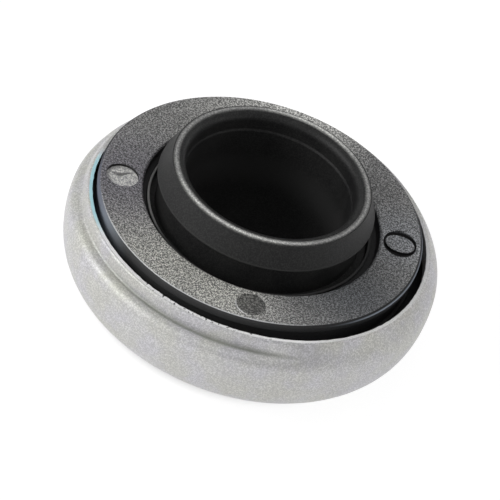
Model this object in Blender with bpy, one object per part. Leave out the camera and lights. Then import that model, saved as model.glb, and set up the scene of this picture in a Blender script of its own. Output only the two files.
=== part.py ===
# Strut mount bearing: the ball thrust bearing that sits on top of a suspension strut.
# Metres, +Z up. The origin is the centre of the flat bottom, and everything turns about Z.

from math import acos, asin, atan2, cos, degrees, hypot, pi, radians, sin, sqrt

import bmesh
import bpy
from mathutils import Matrix

mm = 0.001

# Clearances between pieces
seat_gap = 0.3 * mm        # a piece and the piece that it sits on or in
running_gap = 0.4 * mm     # sleeve inside the shell's hole
ball_gap = 0.2 * mm        # ball and race groove
pocket_gap = 0.2 * mm      # ball and cage pocket
insert_gap = 0.3 * mm      # collar's edge inside the cover ring's bore
ring_gap = 1.35 * mm       # open gap between the cover ring and the shell's lip

# Centre sleeve: a collar on top, a flange under the cover ring, a tube with a bead at its foot
bore_radius = 17.25 * mm
tube_wall = 1.85 * mm      # lower tube
upper_wall = 2.95 * mm     # tube above the inner seal
neck_wall = 3.95 * mm      # neck below the collar
collar_overhang = 1.4 * mm
collar_height = 8.8 * mm   # rim above the cover ring's face
collar_edge_height = 3.5 * mm
rim_wall = 1.85 * mm       # bore to the inner edge of the rim's flat land
rim_land = 1.2 * mm
rim_chamfer = 0.15 * mm
edge_radius = 0.35 * mm    # rounding of the collar's lower edge
entry_land = 0.25 * mm     # the bore's mouth is this much wider
entry_depth = 3.6 * mm     # from the rim down to the step in the bore
flange_grip = 1.1 * mm     # how far the flange reaches under the cover ring
flange_thickness = 2.4 * mm
bead_grip = 0.9 * mm       # how far the bead reaches under the shell's land
bead_chamfer = 0.8 * mm
foot_clearance = 0.5 * mm  # sleeve's foot above the surface that the bearing rests on

# Cover ring: flat moulded ring with a thin lip round its bore
inner_lip_wall = 0.5 * mm
inner_lip_drop = 0.5 * mm
inner_groove_width = 1.15 * mm
inner_groove_depth = 1.8 * mm
inner_chamfer = 0.5 * mm
outer_chamfer = 0.3 * mm
ring_height = 12.8 * mm    # from the upper race's seat to the flat face
shelf_depth = 3.3 * mm     # face to the underside of the shelf that the sleeve's flange meets
skirt_depth = 1.6 * mm     # skirt round the upper race
core_wall = 1.9 * mm       # walls beside the cored pockets
core_roof = 3.6 * mm       # plastic left above the pockets
core_rib = 1.8 * mm
core_count = 12

# Round marks in the flat face
mark_radius = 3.3 * mm
deep_mark = 0.4 * mm
shallow_mark = 0.12 * mm
moat_depth = 0.4 * mm
moat_width = 0.4 * mm
# Kind, degrees from +X and place outwards from the middle of the face
mark_places = (
    ("moat", 6.2, -0.2 * mm),
    ("shallow", 98, -0.6 * mm),
    ("deep", 190, -0.3 * mm),
    ("shallow", 278.5, 0.25 * mm),
)

# Steel shell, pressed from sheet
sheet = 1.1 * mm
lip_drop = 2.0 * mm        # lip's edge below the cover ring's face
lip_height = 3.3 * mm      # lip's edge down to the ledge
crease_radius = 0.5 * mm
ledge_width = 0.3 * mm
shoulder_radius = 2.2 * mm
bulge_drop = 3.9 * mm      # ledge down to the widest place
side_radius = 22.5 * mm
corner_radius = 11.8 * mm
wall_space = 2.82 * mm     # races to the lip's inner face
land_width = 2.2 * mm      # raised land round the hole
land_rise = 3.2 * mm
step_angle = 70.0          # slope of the step up to the land, degrees
step_outer_bend = 1.6 * mm
step_inner_bend = 0.5 * mm

# Balls, races and cage
ball_radius = 2.75 * mm
ball_count = 24
race_land = 0.7 * mm       # race beyond the ball on each side
race_base = 1.3 * mm       # race under its groove
groove_depth = 1.1 * mm
cage_thickness = 1.8 * mm
cage_border = 0.75 * mm    # cage beyond the pocket on each side
race_chamfer = 0.3 * mm

# Rubber seals
seal_body = 1.7 * mm       # radial thickness of a seal's body
seal_lip = 0.7 * mm        # thickness of its lip
outer_seal_height = 2.4 * mm
outer_seal_drop = 1.0 * mm   # seal groove below the ledge
outer_groove_depth = 1.4 * mm
outer_lip_drop = 3.2 * mm  # lip's tip below the seal's top
inner_seal_height = 3.0 * mm
inner_lip_height = 1.8 * mm
inner_lip_inset = 0.2 * mm   # lip's tip inside the edge of the land

# Facets round the axis
turned_steps = 44
inner_steps = 32
ball_steps = 10
ball_rings = 6
pocket_steps = 10
mark_steps = 20

# Radii that follow, from the bore outwards
tube_radius = bore_radius + tube_wall
upper_tube_radius = bore_radius + upper_wall
neck_radius = bore_radius + neck_wall
rim_inner = bore_radius + rim_wall
rim_outer = rim_inner + rim_land
collar_radius = neck_radius + collar_overhang
hole_radius = tube_radius + running_gap
bead_radius = hole_radius + bead_grip
ring_bore = collar_radius + insert_gap
flange_radius = ring_bore + flange_grip
counterbore = flange_radius + seat_gap
face_inner = ring_bore + inner_lip_wall + inner_groove_width + inner_chamfer
land_radius = hole_radius + land_width
step_slope = radians(step_angle)
step_bends = step_outer_bend + step_inner_bend
step_line = (land_rise - step_bends * (1 - cos(step_slope))) / sin(step_slope)
step_run = step_bends * sin(step_slope) + step_line * cos(step_slope)
floor_inner = land_radius + step_run
race_inner = floor_inner + seat_gap
race_outer = race_inner + 2 * (ball_radius + race_land)
pitch_radius = (race_inner + race_outer) / 2
lip_inner = race_outer + wall_space
lip_outer = lip_inner + sheet
ring_outer = lip_inner - ring_gap

# Heights that follow, from the bottom up
land_top = land_rise + sheet
lower_race_seat = sheet + seat_gap
lower_groove = lower_race_seat + race_base
ball_height = lower_groove + ball_gap + ball_radius
upper_groove = ball_height + ball_radius + ball_gap
upper_race_top = upper_groove + race_base
ring_seat = upper_race_top + seat_gap
ring_top = ring_seat + ring_height
shelf = ring_top - shelf_depth
flange_top = shelf - seat_gap
lip_top = ring_top - lip_drop
ledge = lip_top - lip_height
bulge_height = ledge - bulge_drop
rim_top = ring_top + collar_height
collar_edge = ring_top + collar_edge_height
inner_seal_seat = land_top + seat_gap + inner_lip_height + inner_seal_height + seat_gap

# Centres of the shell's arcs, each tangent to the next
crease_centre = (lip_outer + crease_radius, ledge + crease_radius)
shoulder_centre = (crease_centre[0] + ledge_width, ledge - shoulder_radius)
shoulder_rise = shoulder_centre[1] - bulge_height
side_centre = (
    shoulder_centre[0] - sqrt((side_radius - shoulder_radius) ** 2 - shoulder_rise ** 2),
    bulge_height,
)
corner_fall = bulge_height - corner_radius
corner_centre = (
    side_centre[0] + sqrt((side_radius - corner_radius) ** 2 - corner_fall ** 2),
    corner_radius,
)


def arc(centre, radius, start, end, steps):
    """Points on an arc in the (r, z) plane, from one angle to another in degrees."""
    points = []
    for i in range(steps + 1):
        angle = radians(start + (end - start) * i / steps)
        points.append((centre[0] + radius * cos(angle), centre[1] + radius * sin(angle)))
    return points


def bearing_from(a, b):
    """Direction in degrees from point a to point b."""
    return degrees(atan2(b[1] - a[1], b[0] - a[0]))


def side_wall_radius(height):
    """Inner radius of the shell's bulging side at a height."""
    inner = side_radius - sheet
    return side_centre[0] + sqrt(inner ** 2 - (height - side_centre[1]) ** 2)


def thicken(path, thickness):
    """Closed section of a sheet: the path and its offset to the right, mitred at each point."""
    offset = []
    for i, point in enumerate(path):
        before = path[max(i - 1, 0)]
        after = path[min(i + 1, len(path) - 1)]
        normals = []
        for a, b in ((before, point), (point, after)):
            length = hypot(b[0] - a[0], b[1] - a[1])
            if length > 0:
                normals.append(((b[1] - a[1]) / length, (a[0] - b[0]) / length))
        nr = sum(n[0] for n in normals) / len(normals)
        nz = sum(n[1] for n in normals) / len(normals)
        stretch = thickness / (nr * nr + nz * nz)
        offset.append((point[0] + nr * stretch, point[1] + nz * stretch))
    return path + offset[::-1]


def without_repeats(section):
    """The section without points that fall on the one before."""
    kept = []
    for point in section:
        if not kept or hypot(point[0] - kept[-1][0], point[1] - kept[-1][1]) > 1e-6:
            kept.append(point)
    return kept


def plain_material(name, color, roughness, metallic=0.0):
    material = bpy.data.materials.new(name)
    material.use_nodes = True
    shader = material.node_tree.nodes["Principled BSDF"]
    shader.inputs["Base Color"].default_value = (*color, 1.0)
    shader.inputs["Roughness"].default_value = roughness
    shader.inputs["Metallic"].default_value = metallic
    return material


def add_object(name, bm, material, smooth_angle=35.0):
    bmesh.ops.recalc_face_normals(bm, faces=bm.faces)
    mesh = bpy.data.meshes.new(name)
    bm.to_mesh(mesh)
    bm.free()
    mesh.shade_smooth()
    mesh.set_sharp_from_angle(angle=radians(smooth_angle))
    mesh.materials.append(material)
    obj = bpy.data.objects.new(name, mesh)
    bpy.context.scene.collection.objects.link(obj)
    return obj


def spin_section(bm, section, steps):
    """Turn a closed (r, z) section all the way round Z."""
    verts = [bm.verts.new((r, 0.0, z)) for r, z in without_repeats(section)]
    edges = [bm.edges.new((verts[i - 1], verts[i])) for i in range(len(verts))]
    bmesh.ops.spin(
        bm, geom=verts + edges, cent=(0, 0, 0), axis=(0, 0, 1), angle=2 * pi, steps=steps, use_merge=True
    )
    bmesh.ops.remove_doubles(bm, verts=bm.verts, dist=1e-6)


def turned(name, section, steps, material):
    bm = bmesh.new()
    spin_section(bm, section, steps)
    return add_object(name, bm, material)


def cut(obj, cutter):
    """Cut the cutter's shape out of the object and keep the cutter as a hidden guide."""
    cutter.hide_render = True
    cutter.display_type = "WIRE"
    cutter.parent = obj
    boolean = obj.modifiers.new(cutter.name, "BOOLEAN")
    boolean.operation = "DIFFERENCE"
    boolean.solver = "EXACT"
    boolean.object = cutter


def add_disc(bm, radius, low, high, centre, steps, inner=0.0):
    """Upright disc, or ring if inner is set, for cutting."""
    if inner > 0:
        section = [(inner, low), (radius, low), (radius, high), (inner, high)]
        part = bmesh.new()
        spin_section(part, section, steps)
    else:
        part = bmesh.new()
        bmesh.ops.create_cone(
            part, cap_ends=True, segments=steps, radius1=radius, radius2=radius, depth=high - low
        )
        bmesh.ops.translate(part, verts=part.verts, vec=(0, 0, (low + high) / 2))
    bmesh.ops.recalc_face_normals(part, faces=part.faces)
    bmesh.ops.translate(part, verts=part.verts, vec=(centre[0], centre[1], 0))
    piece = bpy.data.meshes.new("piece")
    part.to_mesh(piece)
    part.free()
    bm.from_mesh(piece)
    bpy.data.meshes.remove(piece)


def shell_path():
    """Outer side of the pressed shell, from the lip's edge down and in to the hole."""
    to_shoulder = bearing_from(side_centre, shoulder_centre)
    to_corner = bearing_from(side_centre, corner_centre)
    low_bend = (floor_inner, step_outer_bend)
    high_bend = (land_radius, land_rise - step_inner_bend)
    path = [(lip_outer, lip_top)]
    path += arc(crease_centre, crease_radius, 180, 270, 2)
    path += arc(shoulder_centre, shoulder_radius, 90, to_shoulder, 3)
    path += arc(side_centre, side_radius, to_shoulder, to_corner, 4)[1:]
    path += arc(corner_centre, corner_radius, to_corner, -90, 4)[1:]
    path += arc(low_bend, step_outer_bend, -90, -90 - step_angle, 2)
    path += arc(high_bend, step_inner_bend, 90 - step_angle, 90, 2)
    path += [(hole_radius, land_rise)]
    return without_repeats(path)


def groove(centre_height, start, end):
    """Race groove: an arc round the ball's centre that keeps the ball's gap."""
    return arc((pitch_radius, centre_height), ball_radius + ball_gap, start, end, 6)


def make_shell(material):
    return turned("steel_shell", thicken(shell_path(), sheet), turned_steps, material)


def make_lower_race(material):
    """Pressed washer whose back follows the shell's rounded corner."""
    half = degrees(acos(1 - groove_depth / (ball_radius + ball_gap)))
    top = lower_groove + groove_depth
    back_radius = corner_radius - sheet - seat_gap
    reach = degrees(asin(min((race_outer - corner_centre[0]) / back_radius, 0.9)))
    section = [(race_inner, lower_race_seat + race_chamfer), (race_inner + race_chamfer, lower_race_seat)]
    section += arc(corner_centre, back_radius, -90, -90 + reach, 3)
    section += [(race_outer, top)]
    section += groove(ball_height, -90 + half, -90 - half)
    section += [(race_inner, top)]
    return turned("lower_race", section, inner_steps, material)


def make_upper_race(material):
    half = degrees(acos(1 - groove_depth / (ball_radius + ball_gap)))
    bottom = upper_groove - groove_depth
    section = [(race_inner, bottom)]
    section += groove(ball_height, 90 + half, 90 - half)
    section += [
        (race_outer, bottom),
        (race_outer, upper_race_top - race_chamfer),
        (race_outer - race_chamfer, upper_race_top),
        (race_inner + race_chamfer, upper_race_top),
        (race_inner, upper_race_top - race_chamfer),
    ]
    return turned("upper_race", section, inner_steps, material)


def ball_places():
    """Angle and centre of each ball on the pitch circle."""
    for i in range(ball_count):
        angle = 2 * pi * i / ball_count
        yield angle, (pitch_radius * cos(angle), pitch_radius * sin(angle), ball_height)


def make_cage(material, hidden):
    half_width = ball_radius + pocket_gap + cage_border
    low = ball_height - cage_thickness / 2
    high = ball_height + cage_thickness / 2
    inner = pitch_radius - half_width
    outer = pitch_radius + half_width
    section = [(inner, low), (outer, low), (outer, high), (inner, high)]
    cage = turned("ball_cage", section, 2 * ball_count, material)
    pockets = bmesh.new()
    pocket_radius = (ball_radius + pocket_gap) / cos(pi / pocket_steps)
    for angle, centre in ball_places():
        add_disc(pockets, pocket_radius, low - 1 * mm, high + 1 * mm, centre, pocket_steps)
    cut(cage, add_object("cage_pockets", pockets, hidden))
    return cage


def make_balls(material):
    bm = bmesh.new()
    bmesh.ops.create_uvsphere(bm, u_segments=ball_steps, v_segments=ball_rings, radius=ball_radius)
    first = add_object("ball_01", bm, material, 180.0)
    balls = [first]
    for i in range(1, ball_count):
        ball = bpy.data.objects.new(f"ball_{i + 1:02d}", first.data)
        bpy.context.scene.collection.objects.link(ball)
        balls.append(ball)
    for ball, (angle, centre) in zip(balls, ball_places()):
        ball.matrix_world = Matrix.Translation(centre) @ Matrix.Rotation(angle, 4, "Z")
    return balls


def ring_section():
    """Section of the cover ring, from the flat face outwards and round to the bore."""
    groove_floor = ring_top - inner_groove_depth
    lip_tip = ring_top - inner_lip_drop
    lip_side = ring_bore + inner_lip_wall
    groove_side = lip_side + inner_groove_width
    seal_top = ledge - outer_seal_drop
    seal_bottom = seal_top - outer_seal_height - 2 * seat_gap
    seal_floor = ring_outer - outer_groove_depth
    skirt_bottom = ring_seat - skirt_depth
    skirt_inner = race_outer + seat_gap
    return [
        (face_inner, ring_top),
        (ring_outer - outer_chamfer, ring_top),
        (ring_outer, ring_top - outer_chamfer),
        (ring_outer, seal_top),
        (seal_floor, seal_top),
        (seal_floor, seal_bottom),
        (ring_outer, seal_bottom),
        (ring_outer, skirt_bottom + outer_chamfer),
        (ring_outer - outer_chamfer, skirt_bottom),
        (skirt_inner, skirt_bottom),
        (skirt_inner, ring_seat),
        (counterbore, ring_seat),
        (counterbore, shelf),
        (ring_bore, shelf),
        (ring_bore, lip_tip),
        (lip_side, lip_tip),
        (lip_side, groove_floor),
        (groove_side, groove_floor),
        (groove_side, ring_top - inner_chamfer),
    ]


def add_core(bm, start, end):
    """One cored pocket under the flat face: a block bent round the axis."""
    inner = max(counterbore, race_inner) + core_wall
    outer = ring_outer - outer_groove_depth - core_wall
    low = ring_seat - 1 * mm
    high = ring_top - core_roof
    part = bmesh.new()
    corners = [(inner, low), (outer, low), (outer, high), (inner, high)]
    verts = [part.verts.new((r * cos(start), r * sin(start), z)) for r, z in corners]
    face = part.faces.new(verts)
    bmesh.ops.spin(
        part, geom=[face, *face.edges, *verts], cent=(0, 0, 0), axis=(0, 0, 1), angle=end - start, steps=2
    )
    bmesh.ops.recalc_face_normals(part, faces=part.faces)
    piece = bpy.data.meshes.new("piece")
    part.to_mesh(piece)
    part.free()
    bm.from_mesh(piece)
    bpy.data.meshes.remove(piece)


def make_cover_ring(material, hidden):
    ring = turned("cover_ring", ring_section(), turned_steps, material)
    cores = bmesh.new()
    rib_half = core_rib / 2 / pitch_radius
    for i in range(core_count):
        start = 2 * pi * i / core_count + rib_half
        end = 2 * pi * (i + 1) / core_count - rib_half
        add_core(cores, start, end)
    cut(ring, add_object("ring_cores", cores, hidden))
    marks = bmesh.new()
    face_middle = (face_inner + ring_outer) / 2
    above = ring_top + 1 * mm
    for kind, turn, offset in mark_places:
        distance = face_middle + offset
        centre = (distance * cos(radians(turn)), distance * sin(radians(turn)))
        if kind == "moat":
            inner = mark_radius - moat_width
            add_disc(marks, mark_radius, ring_top - moat_depth, above, centre, mark_steps, inner)
        else:
            depth = deep_mark if kind == "deep" else shallow_mark
            add_disc(marks, mark_radius, ring_top - depth, above, centre, mark_steps)
    cut(ring, add_object("ring_marks", marks, hidden))
    return ring


def sleeve_section():
    """Section of the sleeve: collar, neck, flange, tube and bead outside, then the bore."""
    cone_top = (rim_outer, rim_top - rim_chamfer)
    edge = (collar_radius - edge_radius, collar_edge + edge_radius)
    apart = hypot(edge[0] - cone_top[0], edge[1] - cone_top[1])
    cone = bearing_from(edge, cone_top) - degrees(acos(edge_radius / apart))
    mouth = bore_radius + entry_land
    entry_radius = rim_inner - mouth
    step_height = rim_top - entry_depth
    bead_top = land_rise - seat_gap
    flange_bottom = flange_top - flange_thickness
    section = [(rim_inner, rim_top), (rim_outer - rim_chamfer, rim_top), cone_top]
    section += arc(edge, edge_radius, cone, -90, 3)
    section += [
        (neck_radius, collar_edge),
        (neck_radius, flange_top),
        (flange_radius - edge_radius, flange_top),
        (flange_radius, flange_top - edge_radius),
        (flange_radius, flange_bottom + edge_radius),
        (flange_radius - edge_radius, flange_bottom),
        (upper_tube_radius, flange_bottom),
        (upper_tube_radius, inner_seal_seat),
        (tube_radius, inner_seal_seat),
        (tube_radius, bead_top),
        (bead_radius, bead_top),
        (bead_radius, foot_clearance + bead_chamfer),
        (tube_radius, foot_clearance),
        (bore_radius + edge_radius, foot_clearance),
        (bore_radius, foot_clearance + edge_radius),
        (bore_radius, step_height - entry_land),
        (mouth, step_height),
    ]
    section += arc((rim_inner, rim_top - entry_radius), entry_radius, 180, 90, 4)[:-1]
    return section


def make_sleeve(material):
    return turned("center_sleeve", sleeve_section(), turned_steps, material)


def make_outer_seal(material):
    """Rubber ring in the cover ring's groove, with a lip that reaches the shell's side."""
    inner = ring_outer - outer_groove_depth + seat_gap
    outer = inner + seal_body
    top = ledge - outer_seal_drop - seat_gap
    bottom = top - outer_seal_height
    tip = top - outer_lip_drop
    tip_radius = side_wall_radius(tip) - seat_gap
    section = [
        (inner, bottom),
        (outer, bottom),
        (tip_radius - seal_lip / 2, tip),
        (tip_radius, tip + seal_lip / 2),
        (outer, bottom + 2 * seal_lip),
        (outer, top),
        (inner, top),
    ]
    return turned("outer_seal", section, inner_steps, material)


def make_inner_seal(material):
    """Rubber ring on the sleeve's tube, with a lip that reaches down to the shell's land."""
    inner = tube_radius + seat_gap
    outer = inner + seal_body
    tip = land_top + seat_gap
    low = tip + inner_lip_height
    top = low + inner_seal_height
    tip_radius = land_radius - inner_lip_inset
    section = [
        (inner, low),
        (outer - seal_lip, low),
        (tip_radius - seal_lip, tip),
        (tip_radius, tip),
        (outer, low + seal_lip),
        (outer, top),
        (inner, top),
    ]
    return turned("inner_seal", section, inner_steps, material)


def main():
    for obj in list(bpy.data.objects):
        bpy.data.objects.remove(obj, do_unlink=True)

    hidden = plain_material("guide", (0.8, 0.2, 0.2), 0.5)
    housing = bpy.data.objects.new("housing", None)
    top_unit = bpy.data.objects.new("top_unit", None)
    ball_set = bpy.data.objects.new("ball_set", None)
    for empty in (housing, top_unit, ball_set):
        bpy.context.scene.collection.objects.link(empty)

    shell = make_shell(plain_material("zinc_steel", (0.63, 0.63, 0.61), 0.42, 0.85))
    lower_race = make_lower_race(plain_material("lower_race_steel", (0.52, 0.53, 0.54), 0.25, 1.0))
    for obj in (shell, lower_race):
        obj.parent = housing

    upper_race = make_upper_race(plain_material("upper_race_steel", (0.52, 0.53, 0.54), 0.25, 1.0))
    ring = make_cover_ring(plain_material("cover_plastic", (0.045, 0.045, 0.048), 0.45), hidden)
    sleeve = make_sleeve(plain_material("sleeve_plastic", (0.022, 0.022, 0.024), 0.4))
    outer_seal = make_outer_seal(plain_material("outer_seal_rubber", (0.02, 0.02, 0.02), 0.6))
    inner_seal = make_inner_seal(plain_material("inner_seal_rubber", (0.02, 0.02, 0.02), 0.6))
    for obj in (upper_race, ring, sleeve, outer_seal, inner_seal):
        obj.parent = top_unit

    cage = make_cage(plain_material("cage_plastic", (0.55, 0.5, 0.38), 0.5), hidden)
    balls = make_balls(plain_material("ball_steel", (0.75, 0.75, 0.76), 0.12, 1.0))
    for obj in (cage, *balls):
        obj.parent = ball_set


main()
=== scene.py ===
import bmesh
import bpy
import numpy as np
from mathutils import Matrix, Vector


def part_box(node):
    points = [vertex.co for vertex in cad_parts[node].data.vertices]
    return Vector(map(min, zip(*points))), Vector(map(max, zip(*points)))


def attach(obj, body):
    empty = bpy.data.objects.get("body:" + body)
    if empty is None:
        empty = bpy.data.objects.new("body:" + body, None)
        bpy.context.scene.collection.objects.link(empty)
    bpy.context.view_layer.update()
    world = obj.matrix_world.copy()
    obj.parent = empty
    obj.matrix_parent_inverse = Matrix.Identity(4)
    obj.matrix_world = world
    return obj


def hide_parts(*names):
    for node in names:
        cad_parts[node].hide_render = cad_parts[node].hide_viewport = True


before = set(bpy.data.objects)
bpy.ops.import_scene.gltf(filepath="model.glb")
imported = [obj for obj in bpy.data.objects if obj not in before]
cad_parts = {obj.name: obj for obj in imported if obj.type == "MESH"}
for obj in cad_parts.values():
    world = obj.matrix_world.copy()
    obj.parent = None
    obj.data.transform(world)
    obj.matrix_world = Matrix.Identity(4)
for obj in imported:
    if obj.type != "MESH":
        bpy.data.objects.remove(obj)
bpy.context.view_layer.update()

mm = 0.001  # sizes below are in millimetres, the mesh and the nodes work in metres
sharpEdge = 38  # degrees between two faces from which their edge is shaded sharp
print("frame loaded:", len(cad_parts), "nodes")


# Mesh helpers. Sections are arrays of (radius, height) in mm, and grids have a row for each section point.


# Points on a circle round a centre: centre + radius * (cos, sin) from one angle to another, in degrees
def arc(centre, radius, start, end, steps):
    angle = np.radians(np.linspace(start, end, steps + 1))
    return np.column_stack([centre[0] + radius * np.cos(angle), centre[1] + radius * np.sin(angle)])


# Closed section from corners (radius, height, fillet): each corner becomes an arc tangent to its two sides,
# with a point held close on each side so that the flats stay flat when shaded
def roundedSection(corners, steps=5, hold=0.05):
    corners = np.array(corners, float)
    place, fillet = corners[:, :2], corners[:, 2:]
    toLast = np.roll(place, 1, 0) - place
    toNext = np.roll(place, -1, 0) - place
    lastLength = np.linalg.norm(toLast, axis=1, keepdims=True)
    nextLength = np.linalg.norm(toNext, axis=1, keepdims=True)
    a, b = toLast / lastLength, toNext / nextLength
    half = np.arccos(np.clip((a * b).sum(1, keepdims=True), -1, 1)) / 2
    middle = (a + b) / np.maximum(np.linalg.norm(a + b, axis=1, keepdims=True), 1e-9)
    across = (b - a) / np.maximum(np.linalg.norm(b - a, axis=1, keepdims=True), 1e-9)
    reach = fillet / np.tan(half)
    sweep = np.linspace(-1, 1, steps + 1)[None, :] * (np.pi / 2 - half)
    centre = place + middle * fillet / np.sin(half)
    bend = -middle[:, None] * np.cos(sweep)[..., None] + across[:, None] * np.sin(sweep)[..., None]
    arcs = centre[:, None] + fillet[:, None] * bend
    before = place + a * np.minimum(reach + hold, lastLength * 0.48)
    after = place + b * np.minimum(reach + hold, nextLength * 0.48)
    section = np.concatenate([before[:, None], arcs, after[:, None]], axis=1).reshape(-1, 2)
    return withoutRepeats(section)


# Section without the points that lie on the one before
def withoutRepeats(section):
    apart = np.linalg.norm(section - np.roll(section, 1, 0), axis=1)
    return section[apart > 1e-5]


# Extra points along the straight runs of a closed section, about one step apart
def withRows(section, step):
    loop = np.vstack([section, section[:1]])
    along = np.concatenate([[0], np.cumsum(np.linalg.norm(np.diff(loop, axis=0), axis=1))])
    extra = np.arange(0, along[-1], step)
    free = np.abs(extra[:, None] - along[None, :]).min(axis=1) > step * 0.4
    marks = np.sort(np.concatenate([along, extra[free]]))
    return np.column_stack([np.interp(marks, along, loop[:, 0]), np.interp(marks, along, loop[:, 1])])[:-1]


# Sections run clockwise, so that the turned faces point outwards
def clockwise(section):
    r, z = section.T
    area = (r * np.roll(z, -1) - np.roll(r, -1) * z).sum()
    return section[::-1] if area > 0 else section


# Angles in radians that share a full turn evenly
def evenAngles(count):
    return np.arange(count) * 2 * np.pi / count


# A point of a turned grid: (radius * cos angle, radius * sin angle, height)
def turnedPoints(radius, height, angles):
    radius, height = np.broadcast_arrays(radius, height)
    x, y = radius * np.cos(angles), radius * np.sin(angles)
    return np.stack([x, y, height * np.ones_like(angles)], axis=-1)


# Quads of a grid whose rows and columns both close; index = row * columns + column
def closedQuads(rows, columns):
    i, j = np.meshgrid(np.arange(rows), np.arange(columns), indexing="ij")
    below, beside = (i + 1) % rows, (j + 1) % columns
    corners = [i * columns + j, below * columns + j, below * columns + beside, i * columns + beside]
    return np.stack(corners, axis=-1)


# Smooth noise round the axis: a sum of waves with whole numbers per turn and seeded phases, about 1 high
def ripple(angles, lowest, highest, seed):
    rng = np.random.default_rng(seed)
    count = np.arange(lowest, highest + 1)
    phase = rng.uniform(0, 2 * np.pi, len(count))
    size = rng.uniform(0.5, 1.0, len(count))
    waves = (size[:, None] * np.cos(count[:, None] * angles[None, :] + phase[:, None])).sum(0)
    return waves / np.sqrt((size ** 2).sum() / 2)


# Smooth step from 0 to 1 between two values: t * t * (3 - 2t), with t the share of the way
def smoothStep(low, high, value):
    t = np.clip((value - low) / (high - low), 0, 1)
    return t * t * (3 - 2 * t)


# Mesh object from points in mm and arrays of faces. It rides on a body, in place of the nodes it stands
# for.
def makePiece(name, points, faces, material, body, slotName, replaced, sharpAngle=sharpEdge):
    used, renumbered = np.unique(np.concatenate([f.ravel() for f in faces]), return_inverse=True)
    ends = np.cumsum([f.size for f in faces])[:-1]
    parts = [part.reshape(f.shape) for part, f in zip(np.split(renumbered.ravel(), ends), faces)]
    mesh = bpy.data.meshes.new(name)
    mesh.from_pydata((points[used] * mm).tolist(), [], [face for part in parts for face in part.tolist()])
    mesh.validate()
    mesh.shade_smooth()
    mesh.set_sharp_from_angle(angle=np.radians(sharpAngle))
    mesh.materials.append(material)
    piece = bpy.data.objects.new(name, mesh)
    bpy.context.scene.collection.objects.link(piece)
    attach(piece, body)
    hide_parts(*replaced)
    return piece


# Section carried a full turn round the axis, as a piece
def turnedPiece(name, section, columns, *rest, **options):
    section = clockwise(section)
    angles = evenAngles(columns)
    points = turnedPoints(section[:, :1], section[:, 1:], angles[None, :]).reshape(-1, 3)
    return makePiece(name, points, [closedQuads(len(section), columns).reshape(-1, 4)], *rest, **options)


# Material helpers. Every pattern reads Object coordinates, in metres.


# Empty shader node group with its vector inputs, value inputs and value outputs by name
def newGroup(name, vectors, values, results):
    tree = bpy.data.node_groups.new(name, "ShaderNodeTree")
    for labels, way, kind in (
        (vectors, "INPUT", "NodeSocketVector"),
        (values, "INPUT", "NodeSocketFloat"),
        (results, "OUTPUT", "NodeSocketFloat"),
    ):
        for label in labels:
            tree.interface.new_socket(name=label, in_out=way, socket_type=kind)
    return tree, tree.nodes.new("NodeGroupInput").outputs, tree.nodes.new("NodeGroupOutput").inputs


# One node with its settings and inputs; an input is a value or the socket that feeds it
def node(tree, kind, settings=None, **inputs):
    made = tree.nodes.new("ShaderNode" + kind)
    for label, value in (settings or {}).items():
        setattr(made, label, value)
    for label, value in inputs.items():
        socket = made.inputs[int(label[2:])] if label.startswith("in") else made.inputs[label]
        if isinstance(value, bpy.types.NodeSocket):
            tree.links.new(value, socket)
        else:
            socket.default_value = value
    return made


# Sum, product or another operation on two values
def math(tree, operation, a, b=0.0, clamp=False):
    return node(tree, "Math", {"operation": operation, "use_clamp": clamp}, in0=a, in1=b).outputs[0]


# Product of two or more values
def times(tree, value, *others):
    for other in others:
        value = math(tree, "MULTIPLY", value, other)
    return value


# Vector operation of one or two inputs; what measures gives a value, the rest a vector
def vectorMath(tree, operation, a, b=None):
    inputs = dict(in0=a) if b is None else dict(in0=a, in1=b)
    output = "Value" if operation in ("LENGTH", "DISTANCE", "DOT_PRODUCT") else "Vector"
    return node(tree, "VectorMath", {"operation": operation}, **inputs).outputs[output]


# Smooth step of a value between two limits, from one output to the other
def ramp(tree, value, low, high, outLow=0.0, outHigh=1.0):
    limits = dict(in1=low, in2=high, in3=outLow, in4=outHigh)
    return node(tree, "MapRange", {"interpolation_type": "SMOOTHSTEP"}, in0=value, **limits).outputs[0]


# Two colours mixed by a factor, each (red, green, blue) or a socket
def blendColor(tree, factor, a, b, how="MIX"):
    made = node(tree, "Mix", {"data_type": "RGBA", "blend_type": how}, in0=factor)
    for index, color in ((6, a), (7, b)):
        if isinstance(color, bpy.types.NodeSocket):
            tree.links.new(color, made.inputs[index])
        else:
            made.inputs[index].default_value = (*color, 1)
    return made.outputs[2]


# Cloudy noise between 0 and 1
def noise(tree, vector, scale, detail=2.0, roughness=0.5):
    made = node(tree, "TexNoise", Vector=vector, Scale=scale, Detail=detail, Roughness=roughness)
    return made.outputs["Fac"]


# Distance of a place from the Z axis
def fromAxis(tree, place):
    parts = node(tree, "SeparateXYZ", Vector=place).outputs
    return vectorMath(tree, "LENGTH", node(tree, "CombineXYZ", X=parts["X"], Y=parts["Y"]).outputs[0])


# Height of a place
def heightOf(tree, place):
    return node(tree, "SeparateXYZ", Vector=place).outputs["Z"]


# Moulded sand grain: two sizes of noise added for the height, and the fine peaks picked out as specks
def makeGrainGroup():
    values, results = ["Fine", "Coarse", "Cloud"], ["Height", "Specks", "Clouds"]
    tree, given, out = newGroup("mouldedGrain", ["Vector"], values, results)
    fine = noise(tree, given["Vector"], given["Fine"], 2.0, 0.6)
    coarse = noise(tree, given["Vector"], given["Coarse"], 1.0)
    height = math(tree, "ADD", times(tree, fine, 0.65), times(tree, coarse, 0.35))
    tree.links.new(height, out["Height"])
    tree.links.new(ramp(tree, height, 0.43, 0.62), out["Specks"])
    tree.links.new(ramp(tree, noise(tree, given["Vector"], given["Cloud"], 3.0), 0.3, 0.7), out["Clouds"])
    return tree


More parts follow.
